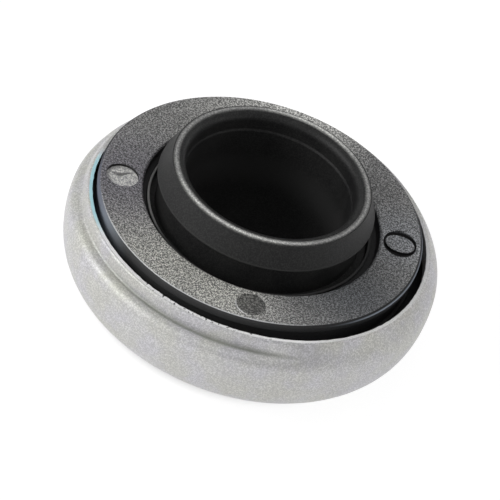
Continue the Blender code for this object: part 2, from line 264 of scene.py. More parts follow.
# Mask of a ring round the axis: 1 on the circle of that radius and height, falling to 0 at the reach
def makeRingGroup():
    tree, given, out = newGroup("ringBand", ["Vector"], ["Radius", "Height", "Reach"], ["Mask"])
    beside = math(tree, "SUBTRACT", fromAxis(tree, given["Vector"]), given["Radius"])
    above = math(tree, "SUBTRACT", heightOf(tree, given["Vector"]), given["Height"])
    apart = vectorMath(tree, "LENGTH", node(tree, "CombineXYZ", X=beside, Y=above).outputs[0])
    share = math(tree, "DIVIDE", apart, given["Reach"])
    tree.links.new(ramp(tree, share, 0.0, 1.0, 1.0, 0.0), out["Mask"])
    return tree


# Mask of a ball round a point: 1 inside, falling to 0 over the soft share of its radius
def makeSpotGroup():
    tree, given, out = newGroup("spot", ["Vector", "Centre"], ["Radius", "Soft"], ["Mask"])
    apart = vectorMath(tree, "DISTANCE", given["Vector"], given["Centre"])
    share = math(tree, "DIVIDE", apart, given["Radius"])
    start = math(tree, "SUBTRACT", 1.0, given["Soft"])
    tree.links.new(ramp(tree, share, start, 1.0, 1.0, 0.0), out["Mask"])
    return tree


# Mask of a tapering stroke: distance from the line between two points over a width that narrows to its end
def makeStrokeGroup():
    tree, given, out = newGroup("stroke", ["Vector", "Start", "End"], ["Width"], ["Mask"])
    reach = vectorMath(tree, "SUBTRACT", given["End"], given["Start"])
    place = vectorMath(tree, "SUBTRACT", given["Vector"], given["Start"])
    along = vectorMath(tree, "DOT_PRODUCT", place, reach)
    whole = vectorMath(tree, "DOT_PRODUCT", reach, reach)
    share = math(tree, "DIVIDE", along, whole, clamp=True)
    foot = node(tree, "VectorMath", {"operation": "SCALE"}, in0=reach, Scale=share).outputs[0]
    apart = vectorMath(tree, "DISTANCE", place, foot)
    narrowing = math(tree, "SUBTRACT", 1.0, times(tree, share, 0.8))
    width = times(tree, given["Width"], narrowing)
    tree.links.new(ramp(tree, math(tree, "DIVIDE", apart, width), 0.6, 1.0, 1.0, 0.0), out["Mask"])
    return tree


grainGroup = makeGrainGroup()
ringGroup = makeRingGroup()
spotGroup = makeSpotGroup()
strokeGroup = makeStrokeGroup()


# Outputs of a group placed in a material, with its inputs as values or sockets
def useGroup(tree, group, **inputs):
    made = tree.nodes.new("ShaderNodeGroup")
    made.node_tree = group
    for label, value in inputs.items():
        if isinstance(value, bpy.types.NodeSocket):
            tree.links.new(value, made.inputs[label])
        else:
            made.inputs[label].default_value = value
    return made.outputs


# Empty material with its shader, its Object coordinates and the shader's plain values set
def newMaterial(name, **plain):
    material = bpy.data.materials.new(name)
    material.use_nodes = True
    tree = material.node_tree
    shader = tree.nodes["Principled BSDF"]
    for label, value in plain.items():
        shader.inputs[label.replace("_", " ")].default_value = value
    return material, tree, shader, node(tree, "TexCoord").outputs["Object"]


# Sockets that vary over the surface, linked to the shader
def connect(tree, shader, **sockets):
    for label, socket in sockets.items():
        tree.links.new(socket, shader.inputs[label.replace("_", " ")])


# Grey as red, green, blue and alpha
def grey(value):
    return (value, value, value, 1.0)


# Place in metres from an angle in degrees, a radius and a height in mm
def onCircle(turn, radius, height):
    return (radius * mm * np.cos(np.radians(turn)), radius * mm * np.sin(np.radians(turn)), height * mm)


# Grain with the fineness of a finish
def grainOf(tree, place, f):
    return useGroup(tree, grainGroup, Vector=place, Fine=f["fine"], Coarse=f["coarse"], Cloud=f["cloud"])


# Clouded colour with specks in it
def grainColor(tree, grain, f):
    color = blendColor(tree, grain["Clouds"], f["color"], f["light"])
    return blendColor(tree, times(tree, grain["Specks"], f["speckShare"]), color, f["speck"])


# Roughness that varies a little with the clouds
def grainRoughness(tree, grain, f):
    vary = times(tree, grain["Clouds"], f["roughVary"])
    return math(tree, "ADD", f["roughness"] - f["roughVary"] / 2, vary)


# Relief of a grained surface
def grainBump(tree, height, f):
    return node(tree, "Bump", Strength=f["strength"], Distance=f["depth"], Height=height).outputs[0]


# Mask of a spot given by degrees from +X, distance from the axis, height above the top, reach and soft
# share
def spotMask(tree, place, top, turn, radius, above, reach, soft):
    centre = onCircle(turn, radius, top / mm + above)
    return useGroup(tree, spotGroup, Vector=place, Centre=centre, Radius=reach * mm, Soft=soft)["Mask"]


# Mask of a ring given by its radius, its height above the top and its reach
def ringMask(tree, place, top, radius, above, reach):
    given = dict(Radius=radius * mm, Height=top + above * mm, Reach=reach * mm)
    return useGroup(tree, ringGroup, Vector=place, **given)["Mask"]


print("helpers and node groups ready")


# Steel shell: sheet pressed into a cup, with a raw cut lip, a crease at its foot and a step up to the hole

shellSizes = dict(
    sheet=1.1, lipOuter=35.65, lipHeight=3.3, lipEdge=0.55, creaseRadius=0.5, ledge=0.1, shoulderRadius=2.2,
    bulgeDrop=3.9, sideRadius=22.5, cornerRadius=11.8, landRadius=21.7, landRise=3.2, holeRadius=19.5,
    stepAngle=70, outerBend=1.6, innerBend=0.5, columns=600,
    shift=(0.72, -0.7), lobes=0.28, lobePlace=205, shiftStart=(22.5, 27.0), shiftInside=(7.0, 14.0),
    leastInner=33.45, oval=0.05, ovalStart=(24, 30), ovalTop=(16.5, 19.5),
    creaseStart=(110, 240), creaseEnd=(280, 304), softSlope=-48, softFirst=3, softLast=0.85,
    ragged=0.03, raggedFront=0.055, raggedPlace=262, raggedWidth=26, waves=0.02,
)
# Where painted light lies on the shell: the bare edge's painted highlight, the painted shadow line in the
# crease (dark) and the painted shade below it
shellMasks = dict(  # angles in degrees from +X, places and reaches in mm
    bareSide=(-0.38, -0.52), bareStart=(172, 182), bareEnd=(290, 312), bareFade=(10, 40), bareRest=0.45,
    darkStart=(208, 250), darkEnd=(280, 303), darkPlace=(0.3, 0.12), darkReach=0.42,
    shadeStart=(150, 185), shadeEnd=(235, 285), shadePlace=(1.3, -0.6), shadeReach=1.1,
)
shellFinish = dict(
    color=(0.645, 0.642, 0.636), warm=(0.636, 0.632, 0.60), cool=(0.64, 0.631, 0.666), coolShare=0.8,
    fine=3800, coarse=2660, cloud=105, grainShade=0.34, depth=0.00004, strength=0.35,
    roughness=0.54, roughVary=0.06, edgeSmooth=0.2, metallic=0.5, edgeDull=0.45,
    # Cut edge: bare metal painted bright as a highlight, a painted cyan highlight at the left, dark chips at
    # the front
    rawEdgeHighlight=(1.0, 1.0, 1.0), cyanEdgeHighlight=(0.5, 0.83, 0.9), cyanHighlightSpot=(196, 35, 0, 15, 0.5),
    chip=(0.10, 0.10, 0.10), chipSpot=(262, 36, 0, 20, 0.5), chipScale=1700,
    # Painted shadow line in the crease and painted shade below it
    crease=(0.20, 0.21, 0.18), creaseShadowDepth=0.85, shade=(0.93, 0.94, 0.89),
)


# Section of the pressed sheet from tangent arcs: lip, crease, shoulder, side, corner, floor and the step
# up to the hole. The inner side follows at one sheet's thickness. Also gives how many points lie on the
# outer side.
def shellSection(s, top):
    ledge = top - s["lipHeight"]
    crease = np.array([s["lipOuter"] + s["creaseRadius"], ledge + s["creaseRadius"]])
    shoulder = np.array([crease[0] + s["ledge"], ledge - s["shoulderRadius"]])
    widest = ledge - s["bulgeDrop"]
    sideReach, cornerReach = s["sideRadius"] - s["shoulderRadius"], s["sideRadius"] - s["cornerRadius"]
    side = np.array([shoulder[0] - np.sqrt(sideReach ** 2 - (shoulder[1] - widest) ** 2), widest])
    cornerOut = np.sqrt(cornerReach ** 2 - (widest - s["cornerRadius"]) ** 2)
    corner = np.array([side[0] + cornerOut, s["cornerRadius"]])
    toShoulder = np.degrees(np.arctan2(*(shoulder - side)[::-1]))
    toCorner = np.degrees(np.arctan2(*(corner - side)[::-1]))
    slope = np.radians(s["stepAngle"])
    bends = s["outerBend"] + s["innerBend"]
    stepLine = (s["landRise"] - bends * (1 - np.cos(slope))) / np.sin(slope)
    floorInner = s["landRadius"] + bends * np.sin(slope) + stepLine * np.cos(slope)

    # Arcs as (centre, radius, start, end, steps, side of the metal): +1 where the outer side bulges
    arcs = [
        (crease, s["creaseRadius"], 180, 270, 8, -1),
        (shoulder, s["shoulderRadius"], 90, toShoulder, 10, 1),
        (side, s["sideRadius"], toShoulder, toCorner, 16, 1),
        (corner, s["cornerRadius"], toCorner, -90, 14, 1),
        ((floorInner, s["outerBend"]), s["outerBend"], -90, -90 - s["stepAngle"], 7, 1),
        ((s["landRadius"], s["landRise"] - s["innerBend"]), s["innerBend"], 90 - s["stepAngle"], 90, 6, -1),
    ]
    outer = [arc((s["lipOuter"] - s["lipEdge"], top - s["lipEdge"]), s["lipEdge"], 90, 0, 5)]
    lipHeights = np.linspace(top - 0.65, ledge + s["creaseRadius"] + 0.1, 9)
    outer.append(np.column_stack([np.full(9, s["lipOuter"]), lipHeights]))
    inner = [np.column_stack([outer[1][:, 0] - s["sheet"], outer[1][:, 1]])]
    for centre, radius, start, end, steps, bulge in arcs:
        outer.append(arc(centre, radius, start, end, steps))
        inner.append(arc(centre, radius - bulge * s["sheet"], start, end, max(steps // 2, 4)))
    hole, landTop = s["holeRadius"], s["landRise"] + s["sheet"]
    outer.append([(hole + 0.1, s["landRise"]), (hole, s["landRise"] + 0.1)])
    inner.append([(hole + 0.1, landTop), (hole, landTop - 0.1)])
    cap = np.linspace(s["lipOuter"] - s["sheet"], s["lipOuter"] - s["lipEdge"] - 0.1, 5)
    edge = np.column_stack([cap, np.full(5, top)])
    outer, inner = withoutRepeats(np.vstack(outer)), withoutRepeats(np.vstack(inner)[::-1])
    return np.vstack([outer, inner, edge]), len(outer)


# Share of a turn: rises over the first pair of angles in degrees and falls over the second
def between(start, end, turn):
    return smoothStep(*start, turn) * (1 - smoothStep(*end, turn))


# Soft bulge: away from the front left, the rows between lip and side lie on a cubic between the two ends
# instead of in the crease. It leaves the lip at one slope and meets the side along its own. With t the
# share of the way it is (2t3 - 3t2 + 1) start + (t3 - 2t2 + t) leave + (3t2 - 2t3) end + (t3 - t2)
# arrive.
def softenCrease(radius, height, section, angles, s, top):
    first = s["softFirst"]
    shoulder = top - s["lipHeight"] - s["shoulderRadius"] * s["softLast"]
    last = first + np.argmax(section[first:, 1] < shoulder)
    notch = section[first:last + 1]
    t = np.concatenate([[0], np.cumsum(np.linalg.norm(np.diff(notch, axis=0), axis=1))])
    t = (t / t[-1])[:, None]
    reach = np.linalg.norm(notch[-1] - notch[0])
    slope = np.radians(s["softSlope"])
    leave = reach * np.array([np.cos(slope), np.sin(slope)])
    arrive = section[last + 1] - section[last - 1]
    arrive = arrive * reach / np.linalg.norm(arrive)
    soft = ((2 * t ** 3 - 3 * t ** 2 + 1) * notch[0] + (t ** 3 - 2 * t ** 2 + t) * leave
            + (3 * t ** 2 - 2 * t ** 3) * notch[-1] + (t ** 3 - t ** 2) * arrive)
    share = 1 - between(s["creaseStart"], s["creaseEnd"], np.degrees(angles))[None, :]
    radius[first:last + 1] += (soft[:, :1] - notch[:, :1]) * share
    height[first:last + 1] += (soft[:, 1:] - notch[:, 1:]) * share


# Ragged cut edge: ripples of its height and of both its sides, largest at the front and fading half a
# millimetre down, and a few slow waves in the shell's side
def roughenLip(radius, height, section, angles, s, top):
    front = np.exp(-((np.degrees(angles) - s["raggedPlace"]) / s["raggedWidth"]) ** 2)
    size = s["ragged"] + (s["raggedFront"] - s["ragged"]) * front
    nearEdge = smoothStep(top - 0.5, top, section[:, 1:])
    inner = smoothStep(s["lipOuter"] - 0.3, s["lipOuter"] - s["sheet"], section[:, :1])
    height -= nearEdge * size * np.abs(ripple(angles, 12, 70, 3)) * (0.4 + 0.6 * inner)
    height -= nearEdge * size * 0.6 * np.abs(ripple(angles, 30, 110, 5)) * (1 - inner)
    radius += nearEdge * (1 - inner) * size * 0.5 * ripple(angles, 30, 120, 8)
    radius += nearEdge * inner * size * 0.6 * ripple(angles, 30, 120, 9)
    outerSide = smoothStep(s["landRadius"] + 6, s["lipOuter"], section[:, :1])
    radius += outerSide * s["waves"] * ripple(angles, 2, 7, 12) * np.cos(section[:, 1:] / 5)


# Masks that the finish reads from the mesh: the bare cut edge with its painted highlight, the painted
# shadow line in the crease and the painted shade under it, each a bell or a step over the section times its
# share of the turn
def storeMasks(piece, section, outside, angles, top):
    s, m = shellSizes, shellMasks
    turn = np.degrees(angles)
    out = section[:, :1] - s["lipOuter"]
    above = section[:, 1:] - top + s["lipHeight"]
    bare = smoothStep(*m["bareStart"], turn) * (1 - smoothStep(*m["bareEnd"], turn) * (1 - m["bareRest"]))
    fading = m["bareRest"] * (1 - smoothStep(*m["bareFade"], turn))
    bare = np.where(turn < m["bareFade"][1], fading, bare)
    onEdge = smoothStep(*m["bareSide"], out) * (section[:, 1:] > top - 0.05)
    fromDark = np.hypot(out - m["darkPlace"][0], above - m["darkPlace"][1])
    fromShade = np.hypot(out - m["shadePlace"][0], above - m["shadePlace"][1])
    under = outside & (above > -3)
    dark = between(m["darkStart"], m["darkEnd"], turn)
    shade = between(m["shadeStart"], m["shadeEnd"], turn)
    masks = dict(
        bareEdgeHighlight=onEdge * bare,
        creaseDark=np.exp(-(fromDark / m["darkReach"]) ** 2) * under * dark,
        creaseShade=np.exp(-(fromShade / m["shadeReach"]) ** 2) * under * shade,
    )
    for name, mask in masks.items():
        values = np.broadcast_to(mask, (len(section), len(angles))).ravel().astype(np.float32)
        piece.data.attributes.new(name, "FLOAT", "POINT").data.foreach_set("value", values)


# Shell grid: the section carried round the axis, softened and roughened, then moved a little off the
# ring's axis as its play allows, with three shallow lobes: shift . (cos, sin) + lobes * cos(3 turn). Hole
# and inner floor stay, and the low side is a little narrower along X: oval * (1 + cos(2 turn)).
def buildShell(material):
    s = shellSizes
    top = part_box("steel_shell")[1].z / mm
    section, outerRows = shellSection(s, top)
    angles = evenAngles(s["columns"])
    radius = np.repeat(section[:, :1], s["columns"], axis=1)
    height = np.repeat(section[:, 1:], s["columns"], axis=1)
    softenCrease(radius, height, section, angles, s, top)
    roughenLip(radius, height, section, angles, s, top)

    outside = (np.arange(len(section)) < outerRows)[:, None]
    move = np.where(outside, smoothStep(*s["shiftStart"], radius), smoothStep(*s["shiftInside"], height))
    sideways = s["shift"][0] * np.cos(angles) + s["shift"][1] * np.sin(angles)
    sideways += s["lobes"] * np.cos(3 * (angles - np.radians(s["lobePlace"])))
    least = s["leastInner"] - s["lipOuter"] + s["sheet"]
    radius += move * np.maximum(sideways, least)[None, :]
    low = outside * smoothStep(*s["ovalStart"], section[:, :1])
    low = low * (1 - smoothStep(*s["ovalTop"], section[:, 1:]))
    radius -= low * s["oval"] * (1 + np.cos(2 * angles))
    points = turnedPoints(radius, height, angles[None, :]).reshape(-1, 3)
    faces = [closedQuads(len(section), s["columns"]).reshape(-1, 4)]
    piece = makePiece("shell_pressing", points, faces, material, "housing", "shell_steel", ["steel_shell"])
    storeMasks(piece, section, outside, angles, top)
    return piece


# Zinc-coated steel: warm and cool clouds, fine grain, a raw lip edge that is bare metal with a painted
# highlight, dark chips at the front and a painted cyan highlight at the left, and a painted shadow line in
# the crease at the lip's foot with painted shade below it
def makeShellSteel():
    f = shellFinish
    material, tree, shader, place = newMaterial("zincSteel")
    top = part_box("steel_shell")[1].z
    grain = grainOf(tree, place, f)
    coolClouds = ramp(tree, noise(tree, place, f["cloud"] * 1.7, 3.0), 0.38, 0.68)
    color = blendColor(tree, grain["Clouds"], f["color"], f["warm"])
    color = blendColor(tree, times(tree, coolClouds, f["coolShare"]), color, f["cool"])
    specks = times(tree, grain["Specks"], f["grainShade"])
    speck = math(tree, "ADD", 1 - f["grainShade"] / 2, specks)
    shades = node(tree, "CombineXYZ", X=speck, Y=speck, Z=speck).outputs[0]
    color = blendColor(tree, 1.0, color, shades, "MULTIPLY")

    edge, dark, shade = (
        node(tree, "Attribute", {"attribute_name": name}).outputs["Fac"]
        for name in ("bareEdgeHighlight", "creaseDark", "creaseShade")
    )
    # Painted shadow line in the crease, then painted shade below it
    color = blendColor(tree, times(tree, dark, f["creaseShadowDepth"]), color, f["crease"])
    color = blendColor(tree, shade, color, f["shade"], "MULTIPLY")
    # Bare cut edge with a painted highlight, cyan at the left, and dark chips at the front
    left = spotMask(tree, place, top, *f["cyanHighlightSpot"])
    edgeHighlightTone = blendColor(tree, left, f["rawEdgeHighlight"], f["cyanEdgeHighlight"])
    front = spotMask(tree, place, top, *f["chipSpot"])
    chips = times(tree, front, ramp(tree, noise(tree, place, f["chipScale"], 1.0), 0.60, 0.64))
    edgeHighlightTone = blendColor(tree, chips, edgeHighlightTone, f["chip"])
    color = blendColor(tree, edge, color, edgeHighlightTone)

    vary = times(tree, math(tree, "SUBTRACT", grain["Clouds"], 0.5), f["roughVary"])
    rough = math(tree, "ADD", f["roughness"], vary)
    rough = math(tree, "SUBTRACT", rough, times(tree, edge, f["edgeSmooth"]))
    metal = math(tree, "SUBTRACT", f["metallic"], times(tree, edge, f["edgeDull"]))
    bump = grainBump(tree, grain["Height"], f)
    connect(tree, shader, Base_Color=color, Metallic=metal, Roughness=rough, Normal=bump)
    return material


buildShell(makeShellSteel())
print("steel shell made")


# Cover ring: flat grained face with four round marks, a thin lip round its bore, a seal groove and pockets

ringSizes = dict(
    bore=22.65, lipWall=0.55, lipDrop=2.0, grooveWidth=1.3, grooveDepth=2.6, innerRound=0.6, edgeOut=0.15,
    shift=(0.05, -0.2), grooveShift=(0.25, -0.3),
    brow=0.55, browDrop=0.45, browFoot=1.6, browPlace=-12, browWidth=44, browLeast=0.65,
    seat=10.2, shelfDepth=3.3, counterbore=24.3, skirtInner=31.83, skirtDepth=1.6,
    sealTop=16.7, sealBottom=13.7, sealDepth=1.4,
    coreInner=26.53, coreOuter=29.7, coreRoof=3.6, coreRib=1.8, coreCount=12, pitch=28.08,
    columns=360, rowStep=0.8, markReach=8.4,
)
markPlaces = {  # kind, degrees from +X and distance from the axis
    "right": ("moat", 6.2, 28.9), "rear": ("shallow", 98, 28.6), "left": ("deep", 190, 28.7),
    "front": ("shallow", 278.5, 29.15),
}

# Profiles of the marks in mm: distance from the mark's middle to the sides, to the rear and to the front,
# then the height above the face. The last point lies on the face itself.
markProfiles = {
    "moat": [
        (0.8, 0.7, 0.7, -0.02), (1.6, 1.4, 1.35, -0.02), (2.3, 1.9, 1.85, -0.01), (2.96, 2.32, 2.27, 0),
        (3.02, 2.4, 2.35, -0.03), (3.05, 2.43, 2.38, -0.1), (3.06, 2.44, 2.39, -0.6), (3.44, 3.8, 3.86, -0.6),
        (3.46, 3.82, 3.88, -0.08), (3.5, 3.86, 3.92, -0.015), (3.56, 3.92, 3.98, 0),
    ],
    "deep": [
        (0.8, 0.8, 0.8, -0.6), (1.6, 1.6, 1.6, -0.6), (2.4, 2.4, 2.4, -0.6), (3.1, 3.1, 3.1, -0.6),
        (3.24, 3.24, 3.24, -0.6), (3.28, 3.28, 3.28, -0.55), (3.31, 3.31, 3.31, -0.06),
        (3.34, 3.34, 3.34, -0.015), (3.4, 3.4, 3.4, 0),
    ],
    "shallow": [
        (0.8, 0.8, 0.8, -0.12), (1.6, 1.6, 1.6, -0.12), (2.4, 2.4, 2.4, -0.12), (2.9, 2.9, 2.9, -0.12),
        (3.02, 3.02, 3.02, -0.11), (3.1, 3.1, 3.1, 0), (3.16, 3.16, 3.16, -0.02), (3.2, 3.2, 3.2, -0.1),
        (3.26, 3.26, 3.26, -0.1), (3.32, 3.32, 3.32, -0.02), (3.38, 3.38, 3.38, 0),
    ],
}


# Section from filleted corners: face, edge with the brow below it, seal groove, skirt, seat, shelf, lip
# and the groove behind the lip
def ringSection(s, top, outer):
    lipSide = s["bore"] + s["lipWall"]
    grooveSide = lipSide + s["grooveWidth"]
    grooveFloor = top - s["grooveDepth"]
    edge = outer + s["edgeOut"]
    skirtBottom = s["seat"] - s["skirtDepth"]
    sealFloor = outer - s["sealDepth"]
    near, far = s["coreInner"], s["coreOuter"]
    corners = [
        (grooveSide, top, s["innerRound"]), (edge - 0.1, top, 0.04), (edge, top - 0.08, 0.04),
        (edge + 0.01, top - 0.16, 0.02), (edge, top - s["browDrop"], 0.04), (edge, top - s["browFoot"], 0.06),
        (outer, top - s["browFoot"] - 0.2, 0.06),
        (outer, s["sealTop"], 0.1), (sealFloor, s["sealTop"], 0.1), (sealFloor, s["sealBottom"], 0.1),
        (outer, s["sealBottom"], 0.1), (outer, skirtBottom + 0.3, 0.1), (outer - 0.3, skirtBottom, 0.1),
        (s["skirtInner"], skirtBottom, 0.1), (s["skirtInner"], s["seat"], 0.1),
        (far + 0.01, s["seat"], 0), (far - 0.01, s["seat"], 0),
        (near + 0.01, s["seat"], 0), (near - 0.01, s["seat"], 0),
        (s["counterbore"], s["seat"], 0.1), (s["counterbore"], top - s["shelfDepth"], 0.1),
        (s["bore"], top - s["shelfDepth"], 0.1), (s["bore"], top - s["lipDrop"], 0.12),
        (lipSide, top - s["lipDrop"], 0.12), (lipSide, grooveFloor, 0.1), (grooveSide, grooveFloor, 0.15),
    ]
    return clockwise(withRows(roundedSection(corners), s["rowStep"]))


# Round patch in a gap of the face grid: rings at middle + reach * direction, where the reach goes from the
# side's to the rear's or the front's by the squared sine, then rings that run out to the gap's edge
def markPatch(points, border, kind, turn, distance, top):
    middle = distance * np.array([np.cos(np.radians(turn)), np.sin(np.radians(turn))])
    rim = points[border]
    away = np.arctan2(rim[:, 1] - middle[1], rim[:, 0] - middle[0])
    profile = np.array(markProfiles[kind])
    direction = np.column_stack([np.cos(away), np.sin(away)])
    farShare, nearShare = np.maximum(np.sin(away), 0) ** 2, np.maximum(-np.sin(away), 0) ** 2
    side, far, near = profile[:, :1], profile[:, 1:2], profile[:, 2:3]
    reach = side + (far - side) * farShare + (near - side) * nearShare
    rings = middle + reach[..., None] * direction
    heights = np.broadcast_to(top + profile[:, 3:], rings.shape[:2])
    rings = np.concatenate([rings, heights[..., None]], axis=-1)
    last = rings[-1]
    outwards = np.stack([last + (rim - last) * share for share in (0.3, 0.65)])
    rings = np.concatenate([rings, outwards])
    centre = np.array([[*middle, top + profile[0, 3]]])
    first = len(points)
    count = len(border)
    index = first + 1 + np.arange(len(rings) * count).reshape(len(rings), count)
    index = np.vstack([index, border])
    nextOne = np.roll(index, -1, axis=1)
    quads = np.stack([index[:-1], index[1:], nextOne[1:], nextOne[:-1]], axis=-1).reshape(-1, 4)
    fan = np.column_stack([np.full(count, first), index[0], nextOne[0]])
    return np.vstack([points, centre, rings.reshape(-1, 3)]), quads, fan


# Cover ring grid: the section carried round the axis. Its columns are even angles and the edges of the
# cored pockets, where the underside jumps to the roof.
def buildCoverRing(material):
    s = ringSizes
    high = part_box("cover_ring")[1]
    top, outer = high.z / mm, high.x / mm
    section = ringSection(s, top, outer)
    ribHalf = s["coreRib"] / 2 / s["pitch"]
    pocketTurn = 2 * np.pi / s["coreCount"]
    edges = (np.arange(s["coreCount"])[:, None] * pocketTurn + ribHalf * np.array([-1, 1])).ravel()
    edges = np.mod(np.concatenate([edges - 0.0004, edges + 0.0004]), 2 * np.pi)
    angles = np.unique(np.concatenate([evenAngles(s["columns"]), edges]))
    rows, columns = len(section), len(angles)
    radius = np.repeat(section[:, :1], columns, axis=1)
    height = np.repeat(section[:, 1:], columns, axis=1)
    fromRib = np.abs(np.mod(angles + pocketTurn / 2, pocketTurn) - pocketTurn / 2)
    inPocket = (fromRib > ribHalf)[None, :]
    underside = np.abs(section[:, 1:] - s["seat"]) < 1e-6
    overPocket = underside & (section[:, :1] > s["coreInner"]) & (section[:, :1] < s["coreOuter"])
    height = np.where(overPocket & inPocket, top - s["coreRoof"], height)

    # Below its edge the ring stands out like a brow, most round the right side
    turn = np.degrees(np.mod(angles - np.radians(s["browPlace"]) + np.pi, 2 * np.pi) - np.pi)
    brow = 1 - smoothStep(s["browWidth"] * 0.4, s["browWidth"] * 1.2, np.abs(turn)) * (1 - s["browLeast"])
    onBrow = (section[:, :1] > outer + 0.1) & (section[:, 1:] < top - 0.1)
    out = smoothStep(top - 0.12, top - s["browDrop"], section[:, 1:])
    radius = radius + onBrow * out * brow[None, :] * s["brow"]

    # The ring's top stands a little off the axis, as its radial play allows, and its bore a little more
    play = smoothStep(top - 2.9, top - 1.3, section[:, 1:])
    atGroove = play * (1 - smoothStep(25.2, 27, section[:, :1]))
    move = [play * s["shift"][i] + atGroove * s["grooveShift"][i] for i in (0, 1)]
    points = turnedPoints(radius, height, angles[None, :])
    points[..., 0] += move[0]
    points[..., 1] += move[1]
    points = points.reshape(-1, 3)
    quads = closedQuads(rows, columns)

    # Face rows between the two rounded edges, with a gap at each mark that a round patch fills
    faceRows = np.where(np.abs(section[:, 1] - top) < 1e-6)[0]
    first, last = faceRows.min(), faceRows.max()
    keep = np.ones((rows, columns), bool)
    extra = []
    for kind, turn, distance in markPlaces.values():
        off = np.degrees(np.mod(angles - np.radians(turn) + np.pi, 2 * np.pi) - np.pi)
        inside = np.where(np.abs(off) <= s["markReach"])[0]
        inside = inside[np.argsort(off[inside])]
        keep[first:last, inside[:-1]] = False
        span = np.arange(first, last + 1)
        border = np.concatenate([
            first * columns + inside[::-1][:-1], span[:-1] * columns + inside[0],
            last * columns + inside[:-1], span[::-1][:-1] * columns + inside[-1],
        ])
        points, patch, fan = markPatch(points, border[::-1], kind, turn, distance, top)
        extra += [patch, fan]
    faces = [quads[keep].reshape(-1, 4)] + extra
    return makePiece("ring_moulding", points, faces, material, "top_unit", "cover_plastic", ["cover_ring"])


ringFinish = dict(  # spots: degrees from +X, distance from the axis, height above the top, reach, soft share
    color=(0.05, 0.05, 0.051), light=(0.071, 0.071, 0.069), speck=(0.69, 0.685, 0.67), speckShare=0.62,
    fine=4400, coarse=2300, cloud=110, depth=0.00008, strength=0.7, roughness=0.5, speckSmooth=0.08,
    side=(0.016, 0.016, 0.017), sideRoughness=0.75,
    # Painted reflected light on the side at the left
    litSide=(0.17, 0.19, 0.22), litSpot=(202, 33.4, -1, 17, 0.8),
    # Painted highlight line along the brow at the right
    browLine=(0.3, 0.34, 0.4), browHighlightSpot=(-15, 33, 0, 24, 0.6),
    # Painted highlight on the upper edge at the front left and on part of the front mark's outline
    frontEdgeHighlight=(0.75, 0.76, 0.78), frontEdgeHighlightSpot=(252, 33, 0, 33, 0.55), outlineHighlightShare=0.6,
    # Painted shade round the bore; painted highlight on the lip's top at the left, and its plain tone
    # elsewhere
    innerLip=(0.02, 0.02, 0.021), lipTop=(0.45, 0.45, 0.44), lipShade=(0.06, 0.06, 0.06),
    lipHighlightSpot=(192, 23, -2, 15, 0.7),
    # Painted shadow in the right mark's moat and on the left mark's wall; the front mark's own darker floor
    moat=(0.002, 0.002, 0.0025), wall=(0.004, 0.004, 0.004), shallowFloor=(0.33, 0.33, 0.33),
    shallowHeight=-0.12, shallowReach=3.02, outlineReach=3.3, deepHeight=-0.6, deepReach=3.32, wallReach=3.6,
    # The left mark's floor is painted pale as lit; the tick is a dark mark in it
    paleFloor=(0.80, 0.79, 0.76), tickStart=(-30.5, -4.5), tickMiddle=(-28.9, -4.5), tickEnd=(-26.6, -2.7),
    blotWidth=0.85, blotShare=0.75, tickWidth=0.6, tickShare=0.8, tickDepth=0.6,
)
# Painted light and shade: broad patches round the face, each lighter or darker as light falls there
faceLightAndShade = [  # degrees from +X, reach in mm and what the colour is multiplied by
    (240, 24, (1.88, 1.88, 1.78)), (275, 14, (1.7, 1.7, 1.66)), (88, 20, (2.35, 2.35, 2.3)),
    (121, 10, (1.35, 1.35, 1.33)), (325, 22, (0.4, 0.42, 0.46)), (10, 14, (1.2, 1.25, 1.35)),
    (190, 22, (0.72, 0.70, 0.80)), (45, 14, (0.86, 0.86, 0.88)),
]


# Clouded and speckled face, a darker side with a patch of painted reflected light, and broad painted light
# and shade round the face. Also the mask of the face.
def colorFace(tree, place, facePlace, grain, height, top, outer):
    f = ringFinish
    onTop = ramp(tree, height, top - 0.7 * mm, top - 0.2 * mm)
    inwards = ramp(tree, fromAxis(tree, facePlace), outer + 0.13 * mm, outer + 0.17 * mm, 1.0, 0.0)
    onFace = times(tree, onTop, inwards)
    specks = times(tree, grain["Specks"], onTop)
    color = blendColor(tree, grain["Clouds"], f["color"], f["light"])
    color = blendColor(tree, times(tree, specks, f["speckShare"]), color, f["speck"])
    # Darker side with a patch of painted reflected light at the left
    side = blendColor(tree, spotMask(tree, place, top, *f["litSpot"]), f["side"], f["litSide"])
    color = blendColor(tree, onFace, side, color)
    # Painted light and shade round the face
    for turn, reach, tone in faceLightAndShade:
        spot = spotMask(tree, place, top, turn, 28.9, 0, reach, 1.0)
        color = blendColor(tree, spot, color, tone, "MULTIPLY")
    return color, onFace


